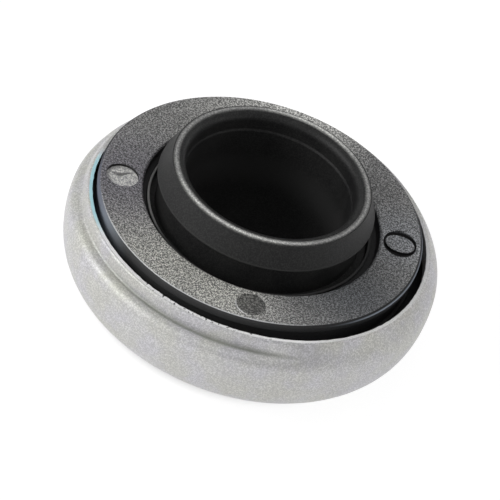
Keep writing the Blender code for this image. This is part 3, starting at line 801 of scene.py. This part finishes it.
# Left mark: speckled floor painted pale as lit, painted shadow on its wall and a dark tick in the floor. Also
# the tick's mask.
def colorLeftMark(tree, place, color, grain, height, top):
    f = ringFinish
    mark = (*markPlaces["left"][1:], f["deepHeight"])
    bottom = top + f["deepHeight"] * mm
    sunk = ramp(tree, height, top - 0.3 * mm, top - 0.2 * mm, 1.0, 0.0)
    floor = times(tree, spotMask(tree, place, top, *mark, f["deepReach"], 0.03), sunk)
    pale = times(tree, floor, ramp(tree, grain["Height"], 0.42, 0.60, 0.3, 1.0))
    # Painted light on the left mark's floor
    color = blendColor(tree, pale, color, f["paleFloor"])
    aboveFloor = ramp(tree, height, bottom + 0.03 * mm, bottom + 0.07 * mm)
    belowFace = ramp(tree, height, top - 0.06 * mm, top - 0.02 * mm, 1.0, 0.0)
    # Painted shadow on the left mark's wall
    wall = times(tree, aboveFloor, belowFace, spotMask(tree, place, top, *mark, f["wallReach"], 0.03))
    color = blendColor(tree, wall, color, f["wall"])
    start, middle, end = (
        (x * mm, y * mm, bottom) for x, y in (f["tickStart"], f["tickMiddle"], f["tickEnd"])
    )
    blotWidth, dashWidth = f["blotWidth"] * mm, f["tickWidth"] * mm
    blot = useGroup(tree, strokeGroup, Vector=place, Start=middle, End=start, Width=blotWidth)["Mask"]
    dash = useGroup(tree, strokeGroup, Vector=place, Start=middle, End=end, Width=dashWidth)["Mask"]
    tick = times(tree, math(tree, "MAXIMUM", times(tree, blot, f["blotShare"]), dash), sunk)
    color = blendColor(tree, times(tree, tick, f["tickShare"]), color, f["light"])
    return color, tick


# Front mark: a darker floor. Also the mask of the part of its outline that carries a painted highlight.
def colorFrontMark(tree, place, color, top):
    f = ringFinish
    mark = (*markPlaces["front"][1:], f["shallowHeight"])
    floor = spotMask(tree, place, top, *mark, f["shallowReach"], 0.05)
    color = blendColor(tree, floor, color, f["shallowFloor"], "MULTIPLY")
    whole = spotMask(tree, place, top, *mark, f["outlineReach"], 0.03)
    x, y, z = onCircle(*mark[:2], top / mm + f["shallowHeight"])
    corner = (x - 2.2 * mm, y - 2.0 * mm, z)
    nearCorner = useGroup(tree, spotGroup, Vector=place, Centre=corner, Radius=3 * mm, Soft=0.6)["Mask"]
    outline = math(tree, "SUBTRACT", whole, floor, True)
    return color, times(tree, outline, nearCorner)


# Painted highlights on the upper edge at the front left and along the brow at the right, and painted shadow
# in the right mark's moat
def colorEdges(tree, place, facePlace, color, outline, height, top, outer):
    f, s = ringFinish, ringSizes
    rim = outer / mm + s["edgeOut"]
    # Painted highlight on the upper edge at the front left and on part of the front mark's outline
    edgeHighlightMask = ringMask(tree, facePlace, top, rim - 0.02, 0.02, 0.22)
    edgeHighlightMask = times(tree, edgeHighlightMask, spotMask(tree, place, top, *f["frontEdgeHighlightSpot"]))
    edgeHighlightMask = math(tree, "MAXIMUM", edgeHighlightMask, times(tree, outline, f["outlineHighlightShare"]))
    color = blendColor(tree, edgeHighlightMask, color, f["frontEdgeHighlight"])
    # Painted highlight line along the brow at the right
    brow = ringMask(tree, facePlace, top, rim + s["brow"] - 0.03, -s["browDrop"], 0.3)
    brow = times(tree, brow, spotMask(tree, place, top, *f["browHighlightSpot"]))
    color = blendColor(tree, brow, color, f["browLine"])
    # Painted shadow in the right mark's moat
    moat = spotMask(tree, place, top, *markPlaces["right"][1:], 0, 4, 0.1)
    moat = times(tree, moat, ramp(tree, height, top - 0.12 * mm, top - 0.04 * mm, 1.0, 0.0))
    return blendColor(tree, moat, color, f["moat"])


# Smooth lip round the bore darkened by painted shade, with a painted highlight on its top at the left
def colorLip(tree, place, color, top):
    f, s = ringFinish, ringSizes
    lip = ringMask(tree, place, top, s["bore"] + 0.3, -2.4, 2.2)
    # Painted shade round the bore
    color = blendColor(tree, ramp(tree, lip, 0.0, 0.12), color, f["innerLip"])
    lipPlace = vectorMath(tree, "SUBTRACT", place, (s["shift"][0] * mm / 2, s["shift"][1] * mm / 2, 0))
    lipTop = ringMask(tree, lipPlace, top, s["bore"] + s["lipWall"] / 2, -s["lipDrop"], 0.45)
    # Painted highlight on the lip's top at the left
    lipTone = blendColor(tree, spotMask(tree, place, top, *f["lipHighlightSpot"]), f["lipShade"], f["lipTop"])
    return blendColor(tree, lipTop, color, lipTone)


# Grained plastic, with the colours of the face, the marks, the edges and the lip laid one over the other
def makeCoverPlastic():
    f, s = ringFinish, ringSizes
    material, tree, shader, place = newMaterial("grainedPlastic", Specular_IOR_Level=0.5)
    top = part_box("cover_ring")[1].z
    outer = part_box("cover_ring")[1].x
    grain = grainOf(tree, place, f)
    height = heightOf(tree, place)
    facePlace = vectorMath(tree, "SUBTRACT", place, (s["shift"][0] * mm, s["shift"][1] * mm, 0))
    color, onFace = colorFace(tree, place, facePlace, grain, height, top, outer)
    color, tick = colorLeftMark(tree, place, color, grain, height, top)
    color, outline = colorFrontMark(tree, place, color, top)
    color = colorEdges(tree, place, facePlace, color, outline, height, top, outer)
    color = colorLip(tree, place, color, top)

    rough = math(tree, "SUBTRACT", f["roughness"], times(tree, grain["Specks"], f["speckSmooth"]))
    offFace = math(tree, "SUBTRACT", 1.0, onFace)
    rough = math(tree, "ADD", rough, times(tree, offFace, f["sideRoughness"] - f["roughness"]))
    relief = math(tree, "SUBTRACT", grain["Height"], times(tree, tick, f["tickDepth"]))
    bump = grainBump(tree, relief, f)
    connect(tree, shader, Base_Color=color, Roughness=rough, Normal=bump)
    return material


buildCoverRing(makeCoverPlastic())
print("cover ring made")


# Centre sleeve: flat rim land with a fine line round it, flared cone, neck, flange, tube and bead

sleeveSizes = dict(
    bore=17.25, mouth=17.5, entryDepth=3.6, rimInner=19.1, rimOuter=20.3, rimChamfer=0.12, collar=22.6,
    collarDrop=5.3, neck=21.2, flangeTop=19.4, flangeBottom=17.0, upperTube=20.2, sealSeat=9.7, tube=19.1,
    bead=20.4, beadTop=2.9, beadChamfer=0.8, foot=0.5, line=0.16, lineDepth=0.14, columns=432,
)
sleeveFinish = dict(
    color=(0.008, 0.008, 0.0085), light=(0.013, 0.013, 0.013), speck=(0.06, 0.06, 0.058), speckShare=0.3,
    fine=4200, coarse=2600, cloud=160, depth=0.00004, strength=0.5, roughness=0.52, roughVary=0.08,
    # Rim land painted pale as sheen, with painted highlights along its crest and at two places
    rim=(0.135, 0.135, 0.135), rimSpeck=(0.29, 0.29, 0.28), rimCrestHighlight=(1.5, 1.5, 1.5), rimHighlight=(2.2, 2.2, 2.16),
    # Painted highlight line on the cone's lower edge, and painted light in the bore
    rimHighlightSpots=((255, 22), (75, 14)), rimRoughness=0.4, edge=(0.04, 0.04, 0.039), bore=(0.03, 0.03, 0.03),
)


# Sleeve from filleted corners carried round the axis, with a quarter round from the rim down into the mouth
def buildSleeve(material):
    s = sleeveSizes
    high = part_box("center_sleeve")[1]
    top, flange = high.z / mm, high.x / mm
    edge = top - s["collarDrop"]
    entry = s["rimInner"] - s["mouth"]
    coneTop = s["rimOuter"] + s["line"]
    corners = [
        (s["rimInner"], top, 0.3), (s["rimOuter"] - s["rimChamfer"], top, 0.05),
        (s["rimOuter"], top - s["rimChamfer"], 0.05),
        (s["rimOuter"] + 0.01, top - s["lineDepth"] - 0.08, 0.02),
        (coneTop - 0.04, top - s["lineDepth"] - 0.06, 0.02), (coneTop, top - s["lineDepth"] + 0.03, 0.03),
        (s["collar"], edge, 0.35), (s["neck"], edge, 0.2), (s["neck"], s["flangeTop"], 0.1),
        (flange, s["flangeTop"], 0.35), (flange, s["flangeBottom"], 0.35),
        (s["upperTube"], s["flangeBottom"], 0.2), (s["upperTube"], s["sealSeat"], 0.1),
        (s["tube"], s["sealSeat"], 0.1), (s["tube"], s["beadTop"], 0.1), (s["bead"], s["beadTop"], 0.15),
        (s["bead"], s["foot"] + s["beadChamfer"], 0.2), (s["tube"], s["foot"], 0.2),
        (s["bore"], s["foot"], 0.35), (s["bore"], top - s["entryDepth"] - 0.5, 0.3),
        (s["mouth"], top - s["entryDepth"], 0.3), (s["mouth"], top - entry, 0),
    ]
    section = roundedSection(corners, 4)
    curve = arc((s["rimInner"], top - entry), entry, 180, 96, 12)
    section = clockwise(withRows(withoutRepeats(np.vstack([section, curve])), 0.9))
    shape = ["sleeve_moulding", section, s["columns"], material]
    return turnedPiece(*shape, "top_unit", "sleeve_plastic", ["center_sleeve"])


# Satin plastic: a bore painted paler as lit, a painted highlight line on the cone's lower edge, and a
# speckled rim painted pale as sheen, with painted highlights along its crest and at two places
def makeSleevePlastic():
    f, s = sleeveFinish, sleeveSizes
    material, tree, shader, place = newMaterial("satinPlastic", Specular_IOR_Level=0.3)
    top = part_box("center_sleeve")[1].z
    grain = grainOf(tree, place, f)
    color = grainColor(tree, grain, f)
    # Painted light in the bore
    deep = ringMask(tree, place, top, 0, -14, 18.6)
    color = blendColor(tree, ramp(tree, deep, 0.0, 0.02), color, f["bore"])
    # Painted highlight line along the cone's lower edge
    edge = ringMask(tree, place, top, s["collar"] - 0.1, 0.35 - s["collarDrop"], 0.4)
    color = blendColor(tree, edge, color, f["edge"])
    # Rim painted pale as sheen, with painted highlights along its crest and at two places
    middle = (s["rimInner"] + s["rimOuter"]) / 2
    rim = ringMask(tree, place, top, middle, 0, 0.95)
    crestHighlight = ringMask(tree, place, top, middle + 0.12, 0, 0.5)
    rimSheen = blendColor(tree, grain["Specks"], f["rim"], f["rimSpeck"])
    rimSheen = blendColor(tree, crestHighlight, rimSheen, f["rimCrestHighlight"], "MULTIPLY")
    for turn, reach in f["rimHighlightSpots"]:
        spot = spotMask(tree, place, top, turn, middle, 0, reach, 0.8)
        rimSheen = blendColor(tree, spot, rimSheen, f["rimHighlight"], "MULTIPLY")
    color = blendColor(tree, rim, color, rimSheen)
    rough = times(tree, grainRoughness(tree, grain, f), math(tree, "SUBTRACT", 1.0, rim))
    rough = math(tree, "ADD", rough, times(tree, rim, f["rimRoughness"]))
    bump = grainBump(tree, grain["Height"], f)
    connect(tree, shader, Base_Color=color, Roughness=rough, Normal=bump)
    return material


buildSleeve(makeSleevePlastic())
print("centre sleeve made")


# Races, balls and cage, which the cover ring hides

bearingSizes = dict(
    inner=24.63, outer=31.53, pitch=28.08, ballRadius=2.75, ballHeight=5.65, ballGap=0.2, ballCount=24,
    lowerSeat=1.4, lowerTop=3.8, upperBottom=7.5, upperTop=9.9, groove=1.1, chamfer=0.3,
    backCentre=(26.53, 11.8), backRadius=10.4, cageThickness=1.8, cageBorder=0.75, pocketGap=0.2, columns=192,
)
raceFinish = dict(
    color=(0.50, 0.51, 0.52), light=(0.58, 0.58, 0.57), speck=(0.66, 0.66, 0.66), speckShare=0.4,
    roughness=0.26, roughVary=0.08,
    fine=5200, coarse=900, cloud=200, depth=0.00001, strength=0.3,
)
ballFinish = dict(
    color=(0.74, 0.74, 0.75), light=(0.78, 0.78, 0.78), speck=(0.8, 0.8, 0.8), speckShare=0.4,
    roughness=0.12, roughVary=0.08,
    fine=5200, coarse=900, cloud=300, depth=0.000005, strength=0.2,
)
cageFinish = dict(
    color=(0.50, 0.45, 0.33), light=(0.57, 0.52, 0.40), speck=(0.62, 0.57, 0.45), speckShare=0.4,
    roughness=0.48, roughVary=0.08,
    fine=4200, coarse=1200, cloud=240, depth=0.00002, strength=0.4,
)


# Plain grained finish of a hidden piece, from its dictionary of values
def makeFinish(name, f, **plain):
    material, tree, shader, place = newMaterial(name, **plain)
    grain = grainOf(tree, place, f)
    color = grainColor(tree, grain, f)
    rough = grainRoughness(tree, grain, f)
    bump = grainBump(tree, grain["Height"], f)
    connect(tree, shader, Base_Color=color, Roughness=rough, Normal=bump)
    return material


# Section of a washer with a ball groove: straight sides and an arc round the ball's centre. The lower
# washer's back follows the shell's corner.
def raceSection(s, lower):
    reach = s["ballRadius"] + s["ballGap"]
    half = np.degrees(np.arccos(1 - s["groove"] / reach))
    if lower:
        backReach = np.degrees(np.arcsin((s["outer"] - s["backCentre"][0]) / s["backRadius"]))
        back = arc(s["backCentre"], s["backRadius"], -90, -90 + backReach, 8)
        grooveArc = arc((s["pitch"], s["ballHeight"]), reach, -90 + half, -90 - half, 24)
        chamfer = [(s["inner"], s["lowerSeat"] + s["chamfer"]), (s["inner"] + s["chamfer"], s["lowerSeat"])]
        sides = [chamfer, back, [(s["outer"], s["lowerTop"])], grooveArc, [(s["inner"], s["lowerTop"])]]
    else:
        grooveArc = arc((s["pitch"], s["ballHeight"]), reach, 90 + half, 90 - half, 24)
        back = [
            (s["outer"], s["upperBottom"]), (s["outer"], s["upperTop"] - s["chamfer"]),
            (s["outer"] - s["chamfer"], s["upperTop"]), (s["inner"] + s["chamfer"], s["upperTop"]),
            (s["inner"], s["upperTop"] - s["chamfer"]),
        ]
        sides = [[(s["inner"], s["upperBottom"])], grooveArc, back]
    return withoutRepeats(np.vstack(sides))


# Ball: cos latitude * (cos turn, sin turn) sideways and sin latitude upwards, times the radius, with a
# fan of triangles at each pole
def buildBall(index, material):
    s = bearingSizes
    turn = 2 * np.pi * index / s["ballCount"]
    columns = 32
    angles = evenAngles(columns)
    latitude = np.radians(np.linspace(90, -90, 17))[1:-1]
    ball = turnedPoints(np.cos(latitude)[:, None], np.sin(latitude)[:, None], angles[None, :]).reshape(-1, 3)
    ball = np.vstack([ball, [(0, 0, 1), (0, 0, -1)]]) * s["ballRadius"]
    ball += (s["pitch"] * np.cos(turn), s["pitch"] * np.sin(turn), s["ballHeight"])
    quads = closedQuads(len(latitude), len(angles))[:-1].reshape(-1, 4)
    around = np.arange(columns)
    following = (around + 1) % columns
    upper = np.column_stack([np.full(columns, len(ball) - 2), around, following])
    lowest = (len(latitude) - 1) * columns
    lower = np.column_stack([np.full(columns, len(ball) - 1), lowest + following, lowest + around])
    solid = f"ball_{index + 1:02d}"
    faces = [quads, upper, lower]
    return makePiece("rolling_" + solid, ball, faces, material, "ball_set", "ball_steel", [solid], 180)


# Cage: one sector of the flat ring with its round pocket, repeated round the axis. Each sector is a tube
# from its outline on top, in to the pocket, down the pocket's wall and out to the outline below.
def buildCage(material):
    s = bearingSizes
    half = np.pi / s["ballCount"]
    width = s["ballRadius"] + s["pocketGap"] + s["cageBorder"]
    side, steps = 6, 8
    sweep = np.linspace(-half, half, steps + 1)
    across = np.linspace(-width, width, side + 1)
    radius = np.concatenate([np.full(steps, s["pitch"] + width), s["pitch"] + across[::-1][:-1],
                             np.full(steps, s["pitch"] - width), s["pitch"] + across[:-1]])
    angle = np.concatenate([sweep[:-1], np.full(side, half), sweep[::-1][:-1], np.full(side, -half)])
    outline = np.column_stack([radius * np.cos(angle), radius * np.sin(angle)])
    away = np.arctan2(outline[:, 1], outline[:, 0] - s["pitch"])
    pocket = s["ballRadius"] + s["pocketGap"]
    levels = np.array([1, 0.9, 0.45, 0, -0.45, -0.9, -1]) * s["cageThickness"] / 2
    hole = np.column_stack([s["pitch"] + pocket * np.cos(away), pocket * np.sin(away)])
    mouth = s["pitch"] + (pocket + 0.1) * np.cos(away), (pocket + 0.1) * np.sin(away)
    flats = [outline, hole * 0.4 + outline * 0.6, np.column_stack(mouth)]
    walls = [hole] * (len(levels) - 2)
    rings = np.stack(flats + walls + flats[::-1])
    heights = np.concatenate([np.full(3, levels[0]), levels[1:-1], np.full(3, levels[-1])])
    count = len(outline)
    turns = 2 * half * np.arange(s["ballCount"])
    cosine, sine = np.cos(turns)[:, None, None], np.sin(turns)[:, None, None]
    x = rings[None, ..., 0] * cosine - rings[None, ..., 1] * sine
    y = rings[None, ..., 0] * sine + rings[None, ..., 1] * cosine
    z = np.broadcast_to(s["ballHeight"] + heights[None, :, None], x.shape)
    points = np.stack([x, y, z], axis=-1).reshape(-1, 3)
    index = np.arange(len(points)).reshape(s["ballCount"], len(heights), count)
    beside = np.roll(index, -1, axis=2)
    quads = np.stack([index[:, :-1], beside[:, :-1], beside[:, 1:], index[:, 1:]], axis=-1).reshape(-1, 4)

    # Side walls join the first ring to the last along the outer and the inner arc
    rim = np.concatenate([np.arange(steps), np.arange(steps) + steps + side])
    walls = np.stack([index[:, 0, rim], index[:, -1, rim], beside[:, -1, rim], beside[:, 0, rim]], axis=-1)
    faces = [quads, walls.reshape(-1, 4)]
    piece = makePiece("cage_moulding", points, faces, material, "ball_set", "cage_plastic", ["ball_cage"])
    weld(piece.data)
    return piece


# Merge the seams between sectors and turn the faces outwards again
def weld(mesh):
    bm = bmesh.new()
    bm.from_mesh(mesh)
    bmesh.ops.remove_doubles(bm, verts=bm.verts, dist=1e-7)
    bmesh.ops.recalc_face_normals(bm, faces=bm.faces)
    bm.to_mesh(mesh)
    bm.free()
    mesh.set_sharp_from_angle(angle=np.radians(sharpEdge))


raceSteel = makeFinish("groundSteel", raceFinish, Metallic=1.0)
for name, solid, lower, body in (
    ("race_below", "lower_race", True, "housing"),
    ("race_above", "upper_race", False, "top_unit"),
):
    section = raceSection(bearingSizes, lower)
    turnedPiece(name, section, bearingSizes["columns"], raceSteel, body, "race_steel", [solid])
ballSteel = makeFinish("polishedSteel", ballFinish, Metallic=1.0)
for index in range(bearingSizes["ballCount"]):
    buildBall(index, ballSteel)
buildCage(makeFinish("naturalPolyamide", cageFinish))
print("races, balls and cage made")


# Rubber seals: a body in its groove and a lip that leans on the shell

sealFinish = dict(
    color=(0.018, 0.018, 0.018), light=(0.024, 0.024, 0.024), speck=(0.04, 0.04, 0.04), speckShare=0.4,
    roughness=0.55, roughVary=0.08,
    fine=3600, coarse=1000, cloud=200, depth=0.00001, strength=0.3,
)
sealSizes = dict(
    outer=[(31.9, 14.0, 0.2), (33.6, 14.0, 0.1), (36.2, 13.2, 0.1), (36.55, 13.55, 0.1), (33.6, 15.4, 0.2),
           (33.6, 16.4, 0.2), (31.9, 16.4, 0.2)],
    inner=[(19.4, 6.4, 0.2), (20.4, 6.4, 0.1), (20.8, 4.6, 0.1), (21.5, 4.6, 0.1), (21.1, 7.1, 0.2),
           (21.1, 9.4, 0.2), (19.4, 9.4, 0.2)],
    columns=240,
)

rubber = makeFinish("sealRubber", sealFinish)
for side in ("outer", "inner"):
    section = clockwise(withRows(roundedSection(sealSizes[side], 4), 0.6))
    shape = [side + "_lip_seal", section, sealSizes["columns"], rubber]
    turnedPiece(*shape, "top_unit", "seal_rubber", [side + "_seal"])
print("seals made")


# Floor, light and camera

stage = dict(
    floorSize=12.0, floorColor=0.8, mirrorFloor=0.36, mirrorGlow=0.82, seenFloor=0.22, seenGlow=0.89,
    # Past these distances from the axis the floor glows; inside them it shows a painted shadow
    glowFrom=(0.027, 0.034), world=0.01, lampAim=(0, 0, 0.02),
)
lights = dict(  # places and sizes in metres, power in watts
    back=dict(place=(-0.05, 0.36, 0.36), size=(0.42, 0.24), power=0.3),
    left=dict(place=(-0.62, -0.18, 0.42), size=(0.4, 0.4), power=3.2),
    right=dict(place=(0.65, -0.1, 0.35), size=(0.4, 0.4), power=1.12),
    top=dict(place=(0, 0, 0.8), size=(0.4, 0.4), power=0.6),
    frontTop=dict(place=(0, -0.45, 0.62), size=(0.5, 0.3), power=0.75),
    front=dict(place=(0, -0.9, 0.3), size=(1.4, 0.5), power=0.8),
    backLeft=dict(place=(-0.42, 0.45, 0.3), size=(0.3, 0.3), power=0.38),
    backRight=dict(place=(0.42, 0.45, 0.3), size=(0.3, 0.3), power=0.74),
    frontLeft=dict(place=(-0.5, -0.55, 0.25), size=(0.3, 0.3), power=0.6),
)
view = dict(
    elevation=40.06, roll=19.22, distance=0.66, lens=237.0, aimRight=11.9, aimDown=43.7, pixelsPerTurn=3292,
)


# Floor: white to the camera and to reflections, with enough of its own shading left to hold the shadow. Its
# glow fades out under the bearing and just round its foot, a painted shadow there that also keeps the bore
# dark.
def makeFloor():
    material = bpy.data.materials.new("paleFloor")
    material.use_nodes = True
    tree = material.node_tree
    tree.nodes.clear()
    path = node(tree, "LightPath").outputs
    apart = vectorMath(tree, "LENGTH", node(tree, "TexCoord").outputs["Object"])
    # Painted shadow under the bearing: no glow near the axis
    pastPaintedShadow = ramp(tree, apart, *stage["glowFrom"])
    surface = node(tree, "BsdfDiffuse", Color=grey(stage["floorColor"])).outputs[0]
    for ray, shade, light in (
        ("Is Glossy Ray", "mirrorFloor", "mirrorGlow"),
        ("Is Camera Ray", "seenFloor", "seenGlow"),
    ):
        plain = node(tree, "BsdfDiffuse", Color=grey(stage[shade])).outputs[0]
        strength = times(tree, pastPaintedShadow, stage[light])
        glow = node(tree, "Emission", Color=grey(1.0), Strength=strength).outputs[0]
        both = node(tree, "AddShader", in0=plain, in1=glow).outputs[0]
        surface = node(tree, "MixShader", in0=path[ray], in1=surface, in2=both).outputs[0]
    node(tree, "OutputMaterial", Surface=surface)
    half = stage["floorSize"] / 2
    mesh = bpy.data.meshes.new("floor")
    corners = [(-half, -half, 0), (half, -half, 0), (half, half, 0), (-half, half, 0)]
    mesh.from_pydata(corners, [], [(0, 1, 2, 3)])
    mesh.materials.append(material)
    floor = bpy.data.objects.new("floor", mesh)
    bpy.context.scene.collection.objects.link(floor)


# World that is white only to the camera, and soft rectangular lamps turned to the bearing
def makeLights():
    world = bpy.data.worlds.new("studio")
    world.use_nodes = True
    tree = world.node_tree
    seen = node(tree, "LightPath").outputs["Is Camera Ray"]
    tree.nodes["Background"].inputs["Color"].default_value = grey(1.0)
    level = math(tree, "MAXIMUM", seen, stage["world"])
    tree.links.new(level, tree.nodes["Background"].inputs["Strength"])
    bpy.context.scene.world = world
    for name, given in lights.items():
        data = bpy.data.lights.new(name, "AREA")
        data.shape = "RECTANGLE"
        data.size, data.size_y = given["size"]
        data.energy = given["power"]
        lamp = bpy.data.objects.new(name, data)
        lamp.location = given["place"]
        aim = Vector(stage["lampAim"]) - Vector(given["place"])
        lamp.rotation_euler = aim.to_track_quat("-Z", "Y").to_euler()
        bpy.context.scene.collection.objects.link(lamp)


# Camera at the photograph's angle: it looks past the ring's middle by the given pixels of a 500 pixel frame
def makeCamera():
    v = view
    lift, roll = np.radians([v["elevation"], v["roll"]])
    back = np.array([0, -np.cos(lift), np.sin(lift)])
    across = np.array([1.0, 0, 0])
    upward = np.cross(back, across)
    right = across * np.cos(roll) + upward * np.sin(roll)
    up = -across * np.sin(roll) + upward * np.cos(roll)
    ahead = -back - right * v["aimRight"] / v["pixelsPerTurn"] - up * v["aimDown"] / v["pixelsPerTurn"]
    ahead /= np.linalg.norm(ahead)
    right -= ahead * (right @ ahead)
    right /= np.linalg.norm(right)
    up = np.cross(right, ahead)
    data = bpy.data.cameras.new("photoCamera")
    data.lens, data.sensor_width = v["lens"], 36.0
    data.clip_start, data.clip_end = 0.05, 20.0
    camera = bpy.data.objects.new("photoCamera", data)
    target = np.array([0, 0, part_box("cover_ring")[1].z])
    turn = Matrix(np.column_stack([right, up, -ahead]).tolist()).to_4x4()
    camera.matrix_world = Matrix.Translation(Vector(target + back * v["distance"])) @ turn
    bpy.context.scene.collection.objects.link(camera)
    bpy.context.scene.camera = camera


makeFloor()
makeLights()
makeCamera()
bpy.context.scene.view_settings.view_transform = "Standard"
print("floor, light and camera set")
